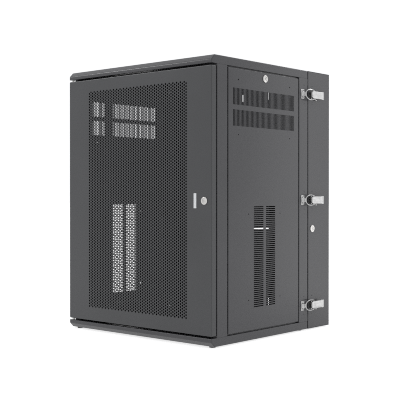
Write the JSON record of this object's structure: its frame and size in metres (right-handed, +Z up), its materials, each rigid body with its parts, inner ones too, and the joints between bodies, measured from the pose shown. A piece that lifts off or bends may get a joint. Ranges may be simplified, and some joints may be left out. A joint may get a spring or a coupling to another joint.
{
  "type": "network server rack cabinet",
  "caption": "Wall-mount network rack cabinet with a perforated locking door, removable vented side panels and a main section that swings out from a shallow wall section.",
  "frame": {"origin": "centre of the footprint at the underside of the rubber pads", "axes": "+Z up, front door faces -Y, wall behind the cabinet at +Y, latches on +X"},
  "size_m": [0.6675, 0.6305, 0.874],
  "materials": {
    "cabinet_paint": "dark grey powder coat, fine texture, low sheen",
    "door_paint": "dark grey powder coat on the perforated door, low sheen",
    "zinc_steel": "zinc-plated steel pins and lock cams",
    "bright_steel": "bright plated steel latches",
    "nickel_lock": "satin nickel lock heads",
    "rubber_pad": "matte black rubber",
    "badge": "blank satin plate, no lettering"
  },
  "bodies": {
    "wall_section": {"wall_back_panel": "cabinet_paint", "wall_left_side": "cabinet_paint", "wall_right_side": "cabinet_paint", "wall_top": "cabinet_paint", "wall_bottom": "cabinet_paint", "swing_hinge_lower_wall_leaf": "cabinet_paint", "swing_hinge_upper_wall_leaf": "cabinet_paint", "swing_hinge_lower_pin": "zinc_steel", "swing_hinge_upper_pin": "zinc_steel", "wall_lock_housing": "nickel_lock", "latch_top_base": "bright_steel", "latch_middle_base": "bright_steel", "latch_bottom_base": "bright_steel"},
    "main_section": {"top_cap": "cabinet_paint", "bottom_pan": "cabinet_paint", "front_left_post": "cabinet_paint", "front_right_post": "cabinet_paint", "rear_left_post": "cabinet_paint", "rear_right_post": "cabinet_paint", "front_left_rack_rail": "cabinet_paint", "front_right_rack_rail": "cabinet_paint", "rear_left_rack_rail": "cabinet_paint", "rear_right_rack_rail": "cabinet_paint", "lower_left_brace": "cabinet_paint", "lower_right_brace": "cabinet_paint", "upper_left_brace": "cabinet_paint", "upper_right_brace": "cabinet_paint", "front_left_pad": "rubber_pad", "front_right_pad": "rubber_pad", "rear_left_pad": "rubber_pad", "rear_right_pad": "rubber_pad", "door_hinge_pin_top": "zinc_steel", "door_hinge_pin_bottom": "zinc_steel", "swing_hinge_lower_main_leaf": "cabinet_paint", "swing_hinge_upper_main_leaf": "cabinet_paint", "latch_top_keeper": "bright_steel", "latch_middle_keeper": "bright_steel", "latch_bottom_keeper": "bright_steel"},
    "front_door": {"front_door": "door_paint", "badge_plate": "badge", "door_lock_housing": "nickel_lock"},
    "door_lock": {"door_lock_plug": "nickel_lock", "door_lock_cam": "zinc_steel"},
    "left_panel": {"left_side_panel": "cabinet_paint", "left_panel_lock_housing": "nickel_lock"},
    "left_panel_lock": {"left_panel_lock_plug": "nickel_lock", "left_panel_lock_cam": "zinc_steel"},
    "right_panel": {"right_side_panel": "cabinet_paint", "right_panel_lock_housing": "nickel_lock"},
    "right_panel_lock": {"right_panel_lock_plug": "nickel_lock", "right_panel_lock_cam": "zinc_steel"},
    "wall_lock": {"wall_lock_plug": "nickel_lock", "wall_lock_cam": "zinc_steel"},
    "latch_top_lever": {"latch_top_lever": "bright_steel"},
    "latch_top_bail": {"latch_top_bail": "bright_steel"},
    "latch_middle_lever": {"latch_middle_lever": "bright_steel"},
    "latch_middle_bail": {"latch_middle_bail": "bright_steel"},
    "latch_bottom_lever": {"latch_bottom_lever": "bright_steel"},
    "latch_bottom_bail": {"latch_bottom_bail": "bright_steel"}
  },
  "joints": [
    {"name": "main_section_swing", "type": "hinge", "parent": "wall_section", "child": "main_section", "pos_m": [-0.326, 0.186, 0.439], "axis": [0, 0, -1], "range_deg": [0, 105]},
    {"name": "front_door_swing", "type": "hinge", "parent": "main_section", "child": "front_door", "pos_m": [-0.312, -0.304, 0.439], "axis": [0, 0, -1], "range_deg": [0, 150]},
    {"name": "door_lock_turn", "type": "hinge", "parent": "front_door", "child": "door_lock", "pos_m": [0.2916, -0.314, 0.439], "axis": [0, -1, 0], "range_deg": [0, 90]},
    {"name": "left_panel_pull", "type": "slide", "parent": "main_section", "child": "left_panel", "axis": [-1, 0, 0], "range_m": [0, 0.12]},
    {"name": "left_panel_lock_turn", "type": "hinge", "parent": "left_panel", "child": "left_panel_lock", "pos_m": [-0.32, -0.053, 0.824], "axis": [1, 0, 0], "range_deg": [0, 90]},
    {"name": "right_panel_pull", "type": "slide", "parent": "main_section", "child": "right_panel", "axis": [1, 0, 0], "range_m": [0, 0.12]},
    {"name": "right_panel_lock_turn", "type": "hinge", "parent": "right_panel", "child": "right_panel_lock", "pos_m": [0.32, -0.053, 0.824], "axis": [1, 0, 0], "range_deg": [0, 90]},
    {"name": "wall_lock_turn", "type": "hinge", "parent": "wall_section", "child": "wall_lock", "pos_m": [0.32, 0.211, 0.342], "axis": [1, 0, 0], "range_deg": [0, 90]},
    {"name": "latch_top_lever_turn", "type": "hinge", "parent": "wall_section", "child": "latch_top_lever", "pos_m": [0.3285, 0.1945, 0.794], "axis": [0, 0, -1], "range_deg": [0, 95]},
    {"name": "latch_top_bail_turn", "type": "hinge", "parent": "latch_top_lever", "child": "latch_top_bail", "pos_m": [0.3308, 0.207, 0.794], "axis": [0, 0, 1], "range_deg": [0, 105]},
    {"name": "latch_middle_lever_turn", "type": "hinge", "parent": "wall_section", "child": "latch_middle_lever", "pos_m": [0.3285, 0.1945, 0.439], "axis": [0, 0, -1], "range_deg": [0, 95]},
    {"name": "latch_middle_bail_turn", "type": "hinge", "parent": "latch_middle_lever", "child": "latch_middle_bail", "pos_m": [0.3308, 0.207, 0.439], "axis": [0, 0, 1], "range_deg": [0, 105]},
    {"name": "latch_bottom_lever_turn", "type": "hinge", "parent": "wall_section", "child": "latch_bottom_lever", "pos_m": [0.3285, 0.1945, 0.085], "axis": [0, 0, -1], "range_deg": [0, 95]},
    {"name": "latch_bottom_bail_turn", "type": "hinge", "parent": "latch_bottom_lever", "child": "latch_bottom_bail", "pos_m": [0.3308, 0.207, 0.085], "axis": [0, 0, 1], "range_deg": [0, 105]}
  ],
  "couplings": [
    {"joint": "latch_top_bail_turn", "follows": "latch_top_lever_turn", "ratio": 1.1},
    {"joint": "latch_middle_bail_turn", "follows": "latch_middle_lever_turn", "ratio": 1.1},
    {"joint": "latch_bottom_bail_turn", "follows": "latch_bottom_lever_turn", "ratio": 1.1}
  ]
}
